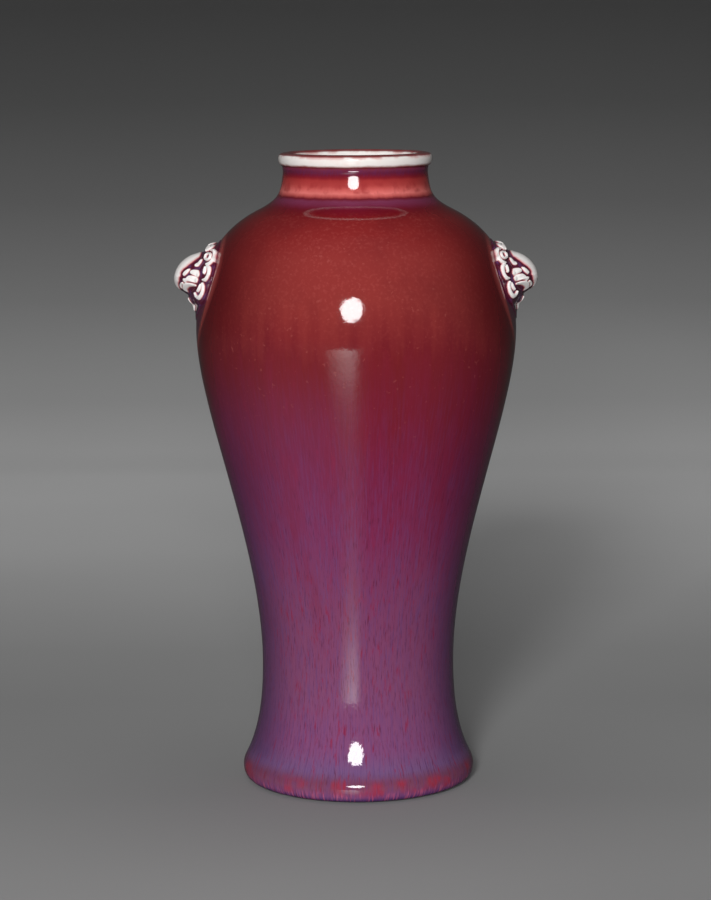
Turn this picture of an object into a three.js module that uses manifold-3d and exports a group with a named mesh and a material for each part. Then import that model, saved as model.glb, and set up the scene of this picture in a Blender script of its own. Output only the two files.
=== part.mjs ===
// A baluster vase in porcelain under a thick copper-red glaze, with two moulded
// animal masks on its shoulder. The clay was thrown in four sections and luted
// together with slip. The glaze coats are separate bodies that lie on the clay.
// Millimetres, +Z up, origin at the centre of the foot's resting plane.

import * as THREE from 'three';
import { mergeVertices } from 'three/addons/utils/BufferGeometryUtils.js';
import Module from 'manifold-3d';

const wasm = await Module();
wasm.setup();

// Driving dimensions of the glazed outline: radii, and the lengths that stack up
// from the table to the lip, 250 in all
const FOOT_CONTACT_RADIUS = 40.8;
const FOOT_EDGE_RADIUS = 46.3;
const WAIST_RADIUS = 38.2;
const BELLY_RADIUS = 63;
const SHOULDER_END_RADIUS = 38.4;
const NECK_RADIUS = 28.3;
const FOOT_EDGE_HEIGHT = 7.2;
const FLARE_LENGTH = 40.3;
const BODY_LENGTH = 133.2;
const SHOULDER_LENGTH = 46.8;
const NECK_LENGTH = 15;
const COLLAR_LENGTH = 2.4;
const LIP_DEPTH = 5.1;
const FOOT_FLARE_ANGLE = 59;
const SHOULDER_END_SLOPE = 26.7;

// Rolled lip
const LIP_OVERHANG = 1.8;
const LIP_CREST_INSET = 3.1;

// Walls, coats and fits
const CLAY_WALL = 3.6;
const OUTER_COAT = 0.8;
const INNER_COAT = 0.5;
const BASE_COAT = 0.4;
const SLIP_THICKNESS = 0.6;
const COAT_CLEARANCE = 0.05;
const MASK_CLEARANCE = 0.3;
const NECK_SEAM_RISE = 7.5;

// Turned foot and floor
const FOOT_RING_WIDTH = 5;
const RECESS_DEPTH = 6;
const RECESS_TAPER = 1.2;
const FLOOR_THICKNESS = 6.5;
const FLOOR_CORNER = 12;

// Animal masks, measured across the vase and up from the mask's centre
const MASK_RISE_OVER_BELLY = 20.3;
const PAD_HALF_WIDTH = 22.4;
const PAD_RISE_ABOVE = 14.8;
const PAD_DROP_BELOW = 16.4;
const PAD_LOWER_TAPER = 0.42;
const PAD_THICKNESS = 0.5;
const MANE_HALF_WIDTH = 21;
const MANE_RISE_ABOVE = 13.6;
const MANE_DROP_BELOW = 10.4;
const MANE_HEIGHT = 4.6;
const BROW_HALF_WIDTH = 15.5;
const MUZZLE_HALF_WIDTH = 13;
const HEAD_PEAK_LEVEL = -1;
const HEAD_RISE_ABOVE = 10.2;
const HEAD_DROP_BELOW = 6.7;
const HEAD_HEIGHT = 9.5;
const NOSE_RIDGE_RISE = 1.75;

// Mesh steps
const TURN_STEPS = 32;
const RELIEF_STEP = 1.45;
const OUTLINE_STEPS = 40;
const EASY_LENGTH = 150;

// Levels that follow from those lengths
const waistHeight = FOOT_EDGE_HEIGHT + FLARE_LENGTH;
const bellyHeight = waistHeight + BODY_LENGTH;
const shoulderEndHeight = bellyHeight + SHOULDER_LENGTH;
const neckHeight = shoulderEndHeight + NECK_LENGTH;
const collarHeight = neckHeight + COLLAR_LENGTH;
const rimHeight = collarHeight + LIP_DEPTH;
const neckSeamHeight = shoulderEndHeight + NECK_SEAM_RISE;
const maskHeight = bellyHeight + MASK_RISE_OVER_BELLY;

const toRadians = THREE.MathUtils.degToRad;

// Each station of an outline holds a point and the outward normal there.
function station(point, tangent) {
  const length = tangent.length();
  return { point, normal: new THREE.Vector2(tangent.y / length, -tangent.x / length) };
}

const sweep = (start, handleA, handleB, end) => new THREE.CubicBezierCurve(start, handleA, handleB, end);

// Samples a curve in equal shares of its turning and its length, so that
// tight bends get more stations than long easy stretches.
function sample(curve, steps) {
  const fine = 240;
  const shares = [0];
  for (let i = 1; i <= fine; i += 1) {
    const before = curve.getTangent((i - 1) / fine);
    const after = curve.getTangent(i / fine);
    const turn = Math.abs(before.cross(after));
    const length = curve.getPoint((i - 1) / fine).distanceTo(curve.getPoint(i / fine));
    shares.push(shares.at(-1) + turn + length / EASY_LENGTH);
  }
  const stations = [];
  for (let i = 0; i <= steps; i += 1) {
    const wanted = (i / steps) * shares.at(-1);
    const t = i === steps ? 1 : Math.max(0, shares.findIndex((share) => share >= wanted)) / fine;
    stations.push(station(curve.getPoint(t), curve.getTangent(t)));
  }
  return stations;
}

// Joins runs of stations end to end and averages the normals where two runs meet.
function chain(...runs) {
  const joined = [...runs[0]];
  for (const run of runs.slice(1)) {
    const seam = joined.pop();
    const normal = seam.normal.clone().add(run[0].normal).normalize();
    joined.push({ point: seam.point, normal }, ...run.slice(1));
  }
  return joined;
}

function sunk({ point, normal }, depth) {
  return point.clone().addScaledVector(normal, -depth);
}

const at = (radius, height) => new THREE.Vector2(radius, height);
const between = THREE.MathUtils.lerp;

// The glazed outline from the contact ring up to the underside of the lip
const contact = at(FOOT_CONTACT_RADIUS, 0);
const footEdge = at(FOOT_EDGE_RADIUS, FOOT_EDGE_HEIGHT);
const waist = at(WAIST_RADIUS, waistHeight);
const belly = at(BELLY_RADIUS, bellyHeight);
const shoulderEnd = at(SHOULDER_END_RADIUS, shoulderEndHeight);
const neck = at(NECK_RADIUS, neckHeight);
const lipCorner = at(NECK_RADIUS + 0.1, collarHeight);

const flareReach = 0.24 * FLARE_LENGTH;
const flareDirection = at(-Math.cos(toRadians(FOOT_FLARE_ANGLE)), Math.sin(toRadians(FOOT_FLARE_ANGLE)));
const slopeDirection = at(-Math.cos(toRadians(SHOULDER_END_SLOPE)), Math.sin(toRadians(SHOULDER_END_SLOPE)));
const shoulderReach = 0.6 * (BELLY_RADIUS - SHOULDER_END_RADIUS);
const neckReach = SHOULDER_END_RADIUS - NECK_RADIUS;

const footCurve = sweep(
  contact,
  at(between(FOOT_CONTACT_RADIUS, FOOT_EDGE_RADIUS, 0.95), 0.05 * FOOT_EDGE_HEIGHT),
  at(FOOT_EDGE_RADIUS, 0.25 * FOOT_EDGE_HEIGHT),
  footEdge,
);
const flareCurve = sweep(
  footEdge,
  footEdge.clone().addScaledVector(flareDirection, flareReach),
  at(WAIST_RADIUS, between(waistHeight, FOOT_EDGE_HEIGHT, 0.49)),
  waist,
);
const lowerCurve = sweep(
  waist,
  at(WAIST_RADIUS, between(waistHeight, bellyHeight, 0.358)),
  at(BELLY_RADIUS, between(bellyHeight, waistHeight, 0.235)),
  belly,
);
const shoulderCurve = sweep(
  belly,
  at(BELLY_RADIUS, between(bellyHeight, shoulderEndHeight, 0.581)),
  shoulderEnd.clone().addScaledVector(slopeDirection, -shoulderReach),
  shoulderEnd,
);
const neckCurve = sweep(
  shoulderEnd,
  shoulderEnd.clone().addScaledVector(slopeDirection, neckReach),
  at(NECK_RADIUS + 0.1 * neckReach, between(neckHeight, shoulderEndHeight, 0.54)),
  neck,
);
const collarCurve = sweep(
  neck,
  neck.clone().lerp(lipCorner, 0.3),
  neck.clone().lerp(lipCorner, 0.7),
  lipCorner,
);
const outline = chain(
  sample(footCurve, 4),
  sample(flareCurve, 4),
  sample(lowerCurve, 7),
  sample(shoulderCurve, 7),
  sample(neckCurve, 4),
  sample(collarCurve, 1),
);

// The lip rolls over from its underside to the crest and down into the mouth
const wall = OUTER_COAT + CLAY_WALL + INNER_COAT;
const lipEdge = at(NECK_RADIUS + LIP_OVERHANG, rimHeight - 0.45 * LIP_DEPTH);
const lipCrest = at(lipEdge.x - LIP_CREST_INSET, rimHeight);
const mouth = at(NECK_RADIUS - wall, collarHeight);
const lipUnderCurve = sweep(
  lipCorner,
  at(between(lipCorner.x, lipEdge.x, 0.6), lipCorner.y + 0.02 * LIP_DEPTH),
  at(lipEdge.x, between(lipEdge.y, lipCorner.y, 0.6)),
  lipEdge,
);
const lipTopCurve = sweep(
  lipEdge,
  at(lipEdge.x, between(lipEdge.y, rimHeight, 0.7)),
  at(between(lipCrest.x, lipEdge.x, 0.7), rimHeight - 0.02 * LIP_DEPTH),
  lipCrest,
);
const lipInnerCurve = sweep(
  lipCrest,
  at(between(lipCrest.x, mouth.x, 0.5), rimHeight - 0.02 * LIP_DEPTH),
  at(mouth.x, between(rimHeight, mouth.y, 0.35)),
  mouth,
);
const lip = chain(sample(lipUnderCurve, 2), sample(lipTopCurve, 3), sample(lipInnerCurve, 2));

// The hollow follows the outline one wall further in, and turns into a flat floor
const floorLevel = RECESS_DEPTH + FLOOR_THICKNESS + INNER_COAT + COAT_CLEARANCE;

function insideOf(curve, steps) {
  return sample(curve, steps)
    .map((outer) => ({ point: sunk(outer, wall), normal: outer.normal.clone().negate() }))
    .reverse();
}

const hollowWall = chain(
  insideOf(neckCurve, 2),
  insideOf(shoulderCurve, 4),
  insideOf(lowerCurve, 4),
  insideOf(flareCurve, 3),
).filter(({ point }) => point.y > floorLevel + FLOOR_CORNER);
const cornerTop = hollowWall.at(-1).point;
const cornerEnd = at(cornerTop.x - FLOOR_CORNER, floorLevel);
const cornerCurve = sweep(
  cornerTop,
  at(cornerTop.x + 0.5, between(cornerTop.y, floorLevel, 0.5)),
  at(between(cornerEnd.x, cornerTop.x, 0.55), floorLevel),
  cornerEnd,
);
const floorCentre = { point: at(0, floorLevel), normal: at(0, 1) };
const hollow = [...chain(hollowWall, sample(cornerCurve, 3)), floorCentre];

// Clay surfaces under the coats; the glaze stops short of the contact ring
const BARE_STATIONS = 1;
const coated = outline.slice(BARE_STATIONS);
const clayOutside = [
  ...outline.slice(0, BARE_STATIONS).map(({ point }) => point),
  ...coated.map((s) => sunk(s, OUTER_COAT)),
];
const clayLip = lip.map((s) => sunk(s, INNER_COAT + COAT_CLEARANCE));
const clayInside = hollow.map((s) => sunk(s, INNER_COAT + COAT_CLEARANCE));

function radiusOn(line, height) {
  const upward = line[0].y < line.at(-1).y ? line : [...line].reverse();
  const above = Math.max(1, upward.findIndex((p) => p.y >= height));
  const low = upward[above - 1];
  const high = upward[above];
  return between(low.x, high.x, (height - low.y) / (high.y - low.y));
}

// The part of a line between two heights, read upward, with exact ends
function stretch(line, low, high) {
  const upward = line[0].y < line.at(-1).y ? line : [...line].reverse();
  const inner = upward.filter((p) => p.y > low + 0.01 && p.y < high - 0.01);
  return [at(radiusOn(line, low), low), ...inner, at(radiusOn(line, high), high)];
}

// A closed profile turned about the vase's axis, +Z up
function turned(profile) {
  const geometry = new THREE.LatheGeometry(profile, TURN_STEPS);
  return geometry.rotateX(Math.PI / 2);
}

function ringBetween(low, high) {
  const outside = stretch(clayOutside, low, high);
  const inside = stretch(clayInside, low, high).reverse();
  return turned([...outside, ...inside, outside[0]]);
}

const halfSlip = SLIP_THICKNESS / 2;
const ringInnerRadius = FOOT_CONTACT_RADIUS - FOOT_RING_WIDTH;

function footSection() {
  const top = waistHeight - halfSlip;
  const outside = stretch(clayOutside, 0, top);
  const inside = clayInside.filter((p) => p.y < top - 0.01);
  return turned([
    at(0, RECESS_DEPTH),
    at(ringInnerRadius - RECESS_TAPER, RECESS_DEPTH),
    at(ringInnerRadius, 0),
    ...outside,
    at(radiusOn(clayInside, top), top),
    ...inside,
  ]);
}

function neckSection() {
  const bottom = neckSeamHeight + halfSlip;
  const outside = clayOutside.filter((p) => p.y > bottom + 0.01);
  const inside = clayInside.filter((p) => p.y > bottom + 0.01);
  const start = at(radiusOn(clayOutside, bottom), bottom);
  const end = at(radiusOn(clayInside, bottom), bottom);
  return turned([start, ...outside, ...clayLip, ...inside, end, start]);
}

function innerGlaze() {
  const surface = [...lip, ...hollow];
  const back = surface.map((s) => sunk(s, INNER_COAT)).reverse();
  return turned([...back, ...surface.map(({ point }) => point)]);
}

function baseGlaze() {
  const radius = ringInnerRadius - RECESS_TAPER - MASK_CLEARANCE;
  return turned([
    at(0, RECESS_DEPTH - BASE_COAT),
    at(radius - BASE_COAT, RECESS_DEPTH - BASE_COAT),
    at(radius, RECESS_DEPTH),
    at(0, RECESS_DEPTH),
  ]);
}

// Conversions between three.js geometry and closed solids
function toSolid(geometry) {
  const bare = geometry.clone();
  bare.deleteAttribute('normal');
  bare.deleteAttribute('uv');
  const merged = mergeVertices(bare, 1e-5);
  const index = merged.index.array;
  const kept = [];
  for (let i = 0; i < index.length; i += 3) {
    const [a, b, c] = [index[i], index[i + 1], index[i + 2]];
    if (a !== b && b !== c && c !== a) kept.push(a, b, c);
  }
  return new wasm.Manifold(new wasm.Mesh({
    numProp: 3,
    vertProperties: new Float32Array(merged.attributes.position.array),
    triVerts: new Uint32Array(kept),
  }));
}

function toGeometry(solid) {
  const mesh = solid.getMesh();
  const geometry = new THREE.BufferGeometry();
  geometry.setAttribute('position', new THREE.BufferAttribute(mesh.vertProperties, 3));
  geometry.setIndex(new THREE.BufferAttribute(mesh.triVerts, 1));
  geometry.computeVertexNormals();
  return geometry;
}

// The mask's outline is an egg, wide at eye level and drawn in towards the beard.
function padOutline(grow) {
  const shape = new THREE.Shape();
  for (let i = 0; i < OUTLINE_STEPS; i += 1) {
    const angle = (2 * Math.PI * i) / OUTLINE_STEPS;
    const lift = Math.sin(angle);
    const taper = lift < 0 ? 1 - PAD_LOWER_TAPER * lift * lift : 1;
    const reach = lift < 0 ? PAD_DROP_BELOW : PAD_RISE_ABOVE;
    const across = (PAD_HALF_WIDTH * taper + grow) * Math.cos(angle);
    const up = (reach + grow) * lift;
    if (i === 0) shape.moveTo(across, up);
    else shape.lineTo(across, up);
  }
  shape.closePath();
  return shape;
}

// A prism of that outline along +X, from inside the wall to past the nose
function padPrism(grow) {
  const inner = BELLY_RADIUS / 2;
  const geometry = new THREE.ExtrudeGeometry(padOutline(grow), {
    depth: BELLY_RADIUS,
    bevelEnabled: false,
  });
  geometry.rotateX(Math.PI / 2);
  geometry.rotateZ(Math.PI / 2);
  geometry.translate(inner, 0, maskHeight);
  return toSolid(geometry);
}

// Raised strokes of the relief, each as a smooth rise over its footprint
const dome = (share) => Math.sqrt(Math.max(0, 1 - share * share));

function oval(across, up, shape) {
  const cos = Math.cos(toRadians(shape.tilt));
  const sin = Math.sin(toRadians(shape.tilt));
  const dx = across - shape.across;
  const dy = up - shape.up;
  const along = (dx * cos + dy * sin) / shape.halfLength;
  const beside = (dy * cos - dx * sin) / shape.halfWidth;
  return shape.rise * dome(Math.hypot(along, beside));
}

function loop(across, up, shape) {
  const offset = Math.hypot((across - shape.across) / shape.reachAcross, (up - shape.up) / shape.reachUp);
  const scale = Math.min(shape.reachAcross, shape.reachUp);
  return shape.rise * dome((Math.abs(offset - 1) * scale) / shape.halfBand);
}

const BROW = { across: 0, up: 3.2, tilt: 90, halfLength: 5.8, halfWidth: 7.4, rise: NOSE_RIDGE_RISE };
const NOSE = { across: 0, up: -2, tilt: 90, halfLength: 3.9, halfWidth: 6.6, rise: NOSE_RIDGE_RISE };
const EYE = { across: 10.6, up: 5.3, tilt: 30, halfLength: 1.5, halfWidth: 1.3, rise: 1.1 };
const CHEEKBONE = { across: 8.8, up: 1.1, tilt: 65, halfLength: 1.9, halfWidth: 1.1, rise: 1 };
const UPPER_FOLD = { across: 12.4, up: 1.8, tilt: -10, halfLength: 2.3, halfWidth: 1.2, rise: 1 };
const MIDDLE_FOLD = { across: 11.8, up: -0.7, tilt: 12, halfLength: 3, halfWidth: 1.2, rise: 1 };
const LIP_FOLD = { across: 9.6, up: -3.5, tilt: 32, halfLength: 4.6, halfWidth: 1, rise: 1.1 };
const BEARD_LEAF = { across: 3.2, up: -9.9, tilt: 95, halfLength: 3.1, halfWidth: 1.2, rise: 0.7 };
const CROWN_CURL = { across: 8.3, up: 11.3, reachAcross: 3.6, reachUp: 1.2, halfBand: 1.1, rise: 1.3 };
const EAR_CURL = { across: 15.4, up: 8.5, reachAcross: 3.3, reachUp: 2.2, halfBand: 1.2, rise: 1.4 };
const CHEEK_CURL = { across: 18.9, up: 3.1, reachAcross: 1.7, reachUp: 2.3, halfBand: 1.1, rise: 1.3 };
const BEARD_CURL = { across: 17.7, up: -3.9, reachAcross: 2.4, reachUp: 2.6, halfBand: 1.2, rise: 1.3 };
const JAW = { up: -6.7, halfWidth: 11, halfLength: 4, rise: 3.85 };
const BEARD = { topLevel: -8.1, tipLevel: -15.1, halfWidth: 6.2, rise: 3.6 };

// The mane's body is a broad cushion under the curls, steeper below than above.
function mane(across, up) {
  const side = across / MANE_HALF_WIDTH;
  const rise = Math.abs(up) / (up > 0 ? MANE_RISE_ABOVE : MANE_DROP_BELOW);
  return MANE_HEIGHT * Math.max(0, 1 - side * side) * Math.max(0, 1 - rise ** 3);
}

// The skull falls away from its peak, slowly upward and sharply under the muzzle,
// and narrows from the brow to the muzzle. A rounded box ends it at the head's edge.
function skull(across, up) {
  const above = up > HEAD_PEAK_LEVEL;
  const flank = Math.min(1, across / MUZZLE_HALF_WIDTH);
  const reach = above ? HEAD_RISE_ABOVE : HEAD_DROP_BELOW * (1 - 0.3 * flank * flank);
  const fall = Math.abs(up - HEAD_PEAK_LEVEL) / reach;
  const browShare = THREE.MathUtils.smoothstep(up, -HEAD_DROP_BELOW, -2 * HEAD_PEAK_LEVEL);
  const side = across / between(MUZZLE_HALF_WIDTH, BROW_HALF_WIDTH, browShare);
  const inside = Math.max(0, 1 - side * side - fall ** (above ? 2 : 2.2));
  const boxAcross = across / (0.91 * BROW_HALF_WIDTH);
  const boxUp = Math.abs(up - 0.7) / (0.91 * HEAD_RISE_ABOVE);
  const edge = THREE.MathUtils.smoothstep(1 - boxAcross ** 3 - boxUp ** 3, 0, 0.3);
  return HEAD_HEIGHT * inside ** (above ? 0.75 : 0.51) * edge;
}

function jaw(across, up) {
  return JAW.rise * dome(Math.hypot(across / JAW.halfWidth, (up - JAW.up) / JAW.halfLength));
}

function beard(across, up) {
  const share = (up - BEARD.tipLevel) / (BEARD.topLevel - BEARD.tipLevel);
  if (share <= 0 || share > 1.3) return 0;
  const width = BEARD.halfWidth * Math.min(1, share) ** 0.75;
  return BEARD.rise * Math.min(1, share) ** 1.3 * dome(across / width);
}

// Height of the mask's face over the glazed shoulder: the highest of its forms,
// with the highest of its strokes laid on it
function reliefHeight(acrossSigned, up) {
  const across = Math.abs(acrossSigned);
  const ovals = [BROW, NOSE, EYE, CHEEKBONE, UPPER_FOLD, MIDDLE_FOLD, LIP_FOLD, BEARD_LEAF];
  const loops = [CROWN_CURL, EAR_CURL, CHEEK_CURL, BEARD_CURL];
  const strokes = [
    ...ovals.map((shape) => oval(across, up, shape)),
    ...loops.map((shape) => loop(across, up, shape)),
  ];
  const forms = [mane(across, up), skull(across, up), jaw(across, up), beard(across, up)];
  return Math.max(PAD_THICKNESS, ...forms) + Math.max(...strokes);
}

// Point of the glazed shoulder seen from +X, and the normal there
function shoulderPoint(across, height) {
  const line = outline.map(({ point }) => point);
  const probe = 0.5;
  const radius = radiusOn(line, height);
  const slope = (radiusOn(line, height + probe) - radiusOn(line, height - probe)) / (2 * probe);
  const depth = Math.sqrt(Math.max(0, radius * radius - across * across));
  const point = new THREE.Vector3(depth, across, height);
  const normal = new THREE.Vector3(depth / radius, across / radius, -slope).normalize();
  return { point, normal };
}

// A block whose face is the relief and whose back lies inside the wall
function reliefBlock() {
  const columns = 2 * Math.ceil(PAD_HALF_WIDTH / RELIEF_STEP) + 2;
  const rows = Math.ceil((PAD_RISE_ABOVE + PAD_DROP_BELOW) / RELIEF_STEP) + 2;
  const positions = [];
  for (const buried of [false, true]) {
    for (let row = 0; row <= rows; row += 1) {
      for (let column = 0; column <= columns; column += 1) {
        const across = (column - columns / 2) * RELIEF_STEP;
        const up = row * RELIEF_STEP - PAD_DROP_BELOW - RELIEF_STEP;
        const { point, normal } = shoulderPoint(across, maskHeight + up);
        point.addScaledVector(normal, buried ? -CLAY_WALL : reliefHeight(across, up));
        positions.push(point.x, point.y, point.z);
      }
    }
  }
  const width = columns + 1;
  const layer = width * (rows + 1);
  const index = [];
  const quad = (a, b, c, d) => index.push(a, b, c, a, c, d);
  for (let row = 0; row < rows; row += 1) {
    for (let column = 0; column < columns; column += 1) {
      const a = row * width + column;
      quad(a, a + 1, a + width + 1, a + width);
      quad(layer + a, layer + a + width, layer + a + width + 1, layer + a + 1);
    }
  }
  for (let column = 0; column < columns; column += 1) {
    const top = rows * width + column;
    quad(column, layer + column, layer + column + 1, column + 1);
    quad(top + 1, layer + top + 1, layer + top, top);
  }
  for (let row = 0; row < rows; row += 1) {
    const left = row * width;
    const right = left + columns;
    quad(left + width, layer + left + width, layer + left, left);
    quad(right, layer + right, layer + right + width, right + width);
  }
  const geometry = new THREE.BufferGeometry();
  geometry.setAttribute('position', new THREE.Float32BufferAttribute(positions, 3));
  geometry.setIndex(index);
  return toSolid(geometry);
}

// The mask is pressed clay on the shoulder: its back is cut by the clay it sits on.
function maskGeometry() {
  const seat = coated.map((s) => sunk(s, OUTER_COAT - MASK_CLEARANCE));
  const clay = toSolid(turned([at(0, seat[0].y), ...seat, at(0, seat.at(-1).y)]));
  return toGeometry(reliefBlock().intersect(padPrism(0)).subtract(clay));
}

// The outer coat leaves a window round each mask
function outerGlaze() {
  const face = coated.map(({ point }) => point);
  const back = coated.map((s) => sunk(s, OUTER_COAT - COAT_CLEARANCE)).reverse();
  const coat = toSolid(turned([...face, ...back, face[0]]));
  const window = padPrism(MASK_CLEARANCE);
  return toGeometry(coat.subtract(window).subtract(window.rotate([0, 0, 180])));
}

function finish(color, roughness) {
  return new THREE.MeshStandardMaterial({ color, roughness, metalness: 0 });
}

const porcelain = finish('#e9e4dc', 0.6);
const slip = finish('#d8d0c4', 0.85);
const redGlaze = finish('#7a2030', 0.08);
const paleGlaze = finish('#efe9e6', 0.1);
const maskGlaze = finish('#e8d9da', 0.12);

const vase = new THREE.Group();

function place(name, geometry, material, turn = 0) {
  const mesh = new THREE.Mesh(geometry, material);
  mesh.name = name;
  mesh.rotation.z = turn;
  vase.add(mesh);
}

place('foot_section', footSection(), porcelain);
place('waist_slip', ringBetween(waistHeight - halfSlip, waistHeight + halfSlip), slip);
place('body_section', ringBetween(waistHeight + halfSlip, bellyHeight - halfSlip), porcelain);
place('belly_slip', ringBetween(bellyHeight - halfSlip, bellyHeight + halfSlip), slip);
place('shoulder_section', ringBetween(bellyHeight + halfSlip, neckSeamHeight - halfSlip), porcelain);
place('neck_slip', ringBetween(neckSeamHeight - halfSlip, neckSeamHeight + halfSlip), slip);
place('neck_section', neckSection(), porcelain);
place('outer_glaze', outerGlaze(), redGlaze);
place('inner_glaze', innerGlaze(), paleGlaze);
place('base_glaze', baseGlaze(), paleGlaze);
const mask = maskGeometry();
place('right_mask', mask, maskGlaze);
place('left_mask', mask, maskGlaze, Math.PI);

export default vase;
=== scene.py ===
# %% [markdown]
# # A baluster vase under a flowing red glaze
#
# The vase is 250 mm of white porcelain under a thick copper-red glaze that ran down in the kiln.
# Where the glaze is thin it is white or pink, as on the lip and on the relief of the two moulded
# animal masks. Where it pooled it turned purple and blue, as at the foot.
#
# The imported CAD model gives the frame: where every piece is, and how large. This lesson builds the
# visible skins of glaze finely around it, with numpy, and spends its effort on the glaze itself.

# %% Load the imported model
import math
import bpy
import numpy as np
from mathutils import Matrix, Vector


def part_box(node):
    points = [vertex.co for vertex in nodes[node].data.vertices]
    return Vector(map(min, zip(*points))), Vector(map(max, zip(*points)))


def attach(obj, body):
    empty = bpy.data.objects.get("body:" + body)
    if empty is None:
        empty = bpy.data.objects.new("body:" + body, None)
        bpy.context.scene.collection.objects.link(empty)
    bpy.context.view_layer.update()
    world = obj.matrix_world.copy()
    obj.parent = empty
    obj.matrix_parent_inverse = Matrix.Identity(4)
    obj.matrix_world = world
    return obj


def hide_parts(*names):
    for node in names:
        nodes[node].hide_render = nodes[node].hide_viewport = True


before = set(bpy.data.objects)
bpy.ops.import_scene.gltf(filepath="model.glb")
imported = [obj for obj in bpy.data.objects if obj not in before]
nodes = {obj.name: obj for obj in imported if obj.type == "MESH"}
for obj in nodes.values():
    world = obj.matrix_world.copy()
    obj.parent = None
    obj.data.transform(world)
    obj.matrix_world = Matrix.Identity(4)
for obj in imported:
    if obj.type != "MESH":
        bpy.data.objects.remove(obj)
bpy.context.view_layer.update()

scene = bpy.context.scene
print("CAD nodes:", sorted(nodes))

# %% [markdown]
# ## Levels and radii
#
# Heights can be read from the frame: the two slip seams lie at the waist and at the widest point,
# and the two coats end at the collar and at the rim. Reading them keeps this file in step with the
# CAD model. The radii and handles of the curves are the potter's choices, so they are written here.
# Profiles are worked out in millimetres, and a mesh is turned into metres when it is made.

# %% Levels from the frame, radii in millimetres
MM = 0.001


def levels_of(node):
    """The lowest and the highest level of a CAD node, in millimetres."""
    return [corner.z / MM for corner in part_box(node)]


CONTACT_RADIUS = 40.8
FOOT_EDGE_RADIUS = 46.3
WAIST_RADIUS = 38.2
SHOULDER_END_RADIUS = 38.4
NECK_RADIUS = 28.3
FOOT_EDGE_HEIGHT = 7.2
NECK_LENGTH = 15
COLLAR_LENGTH = 2.4
belly_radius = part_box("outer_glaze")[1].y / MM
waist_height = sum(levels_of("waist_slip")) / 2
belly_height = sum(levels_of("belly_slip")) / 2
collar_height = levels_of("outer_glaze")[1]
rim_height = levels_of("inner_glaze")[1]
neck_height = collar_height - COLLAR_LENGTH
shoulder_end_height = neck_height - NECK_LENGTH
levels = (waist_height, belly_height, shoulder_end_height, neck_height, collar_height, rim_height)
print("levels:", [round(v, 2) for v in levels])

# %% [markdown]
# ## The outline
#
# A thrown pot's outline is a few easy curves that run into each other. It could be drawn as a
# Blender curve and turned with a Screw modifier. Here each curve is a cubic sweep worked out as an
# array, because the same arrays then give the inside of the coats, the clay and the glaze line.

# %% Sweeps, offsets and even spacing
def sweep(start, handle_a, handle_b, end, steps=500):
    """Rows of radius and height: the four points weighted by (1-t)^3, 3t(1-t)^2, 3t^2(1-t) and t^3."""
    t = np.linspace(0, 1, steps + 1)[:, None]
    a, b, c, d = (np.array(p, float) for p in (start, handle_a, handle_b, end))
    return (1 - t) ** 3 * a + 3 * t * (1 - t) ** 2 * b + 3 * t * t * (1 - t) * c + t ** 3 * d


def joined(*lines):
    """One line from several that meet end to end, without their double points."""
    return np.concatenate([lines[0]] + [line[1:] for line in lines[1:]])


def arc_of(line):
    """How far along the line each point is."""
    return np.concatenate([[0], np.cumsum(np.linalg.norm(np.diff(line, axis=0), axis=1))])


def picked(line, running, count):
    """That many points of the line, evenly spaced by the running value given for its points."""
    places = np.linspace(0, running[-1], count)
    return np.stack([np.interp(places, running, line[:, k]) for k in (0, 1)], 1)


def eased(line, reach, step=0.1):
    """The line with a point about every step millimetres and its corners rounded: each point is
    the weighted mean of its neighbours, over a bell of that reach. The two ends stay."""
    arc = arc_of(line)
    line = picked(line, arc, int(arc[-1] / step) + 2)
    half = int(3 * reach / step)
    bell = np.exp(-0.5 * (np.arange(-half, half + 1) * step / reach) ** 2)
    padded = np.concatenate([2 * line[0] - line[half:0:-1], line, 2 * line[-1] - line[-2:-half - 2:-1]])
    return np.stack([np.convolve(padded[:, k], bell / bell.sum(), "valid") for k in (0, 1)], 1)


def normals_of(line):
    """The unit direction to the right of the line's travel: outward where the line goes up."""
    step = np.gradient(line, axis=0)
    side = np.stack([step[:, 1], -step[:, 0]], 1)
    return side / np.linalg.norm(side, axis=1, keepdims=True)


def sunk(line, depth):
    """The line moved inward by depth, a number or one number for each point."""
    return line - np.reshape(depth, (-1, 1)) * normals_of(line)


def spaced(line, count, easy_length=90):
    """Picks count points that share out the line's turning and its length equally, so that tight
    bends get more of them: turning in radians, plus length over easy_length."""
    normal = normals_of(line)
    turn = np.linalg.norm(np.diff(normal, axis=0), axis=1)
    length = np.linalg.norm(np.diff(line, axis=0), axis=1)
    return picked(line, np.concatenate([[0], np.cumsum(turn + length / easy_length)]), count)


def blend_of(a, b, share):
    """That share of the way from a to b."""
    return a + (b - a) * share


def smooth_step(value):
    """0 below 0, 1 above 1, and 3v^2 - 2v^3 between."""
    v = np.clip(value, 0, 1)
    return v * v * (3 - 2 * v)


# %% The glazed outline, from the contact ring up to the collar
FLARE_ANGLE = math.radians(59)
SLOPE_ANGLE = math.radians(26.7)
COLLAR_SPREAD = 0.3
NECK_EASE = 1
FOOT_ROUNDING = 1.3
CORNER_ROUNDING = 0.5
flare_length = waist_height - FOOT_EDGE_HEIGHT
flare_way = np.array([-math.cos(FLARE_ANGLE), math.sin(FLARE_ANGLE)])
slope_way = np.array([-math.cos(SLOPE_ANGLE), math.sin(SLOPE_ANGLE)])
contact = np.array([CONTACT_RADIUS, 0])
foot_edge = np.array([FOOT_EDGE_RADIUS, FOOT_EDGE_HEIGHT])
waist = np.array([WAIST_RADIUS, waist_height])
belly = np.array([belly_radius, belly_height])
shoulder_end = np.array([SHOULDER_END_RADIUS, shoulder_end_height])
neck = np.array([NECK_RADIUS, neck_height])
lip_corner = np.array([NECK_RADIUS + COLLAR_SPREAD, collar_height])

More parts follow.
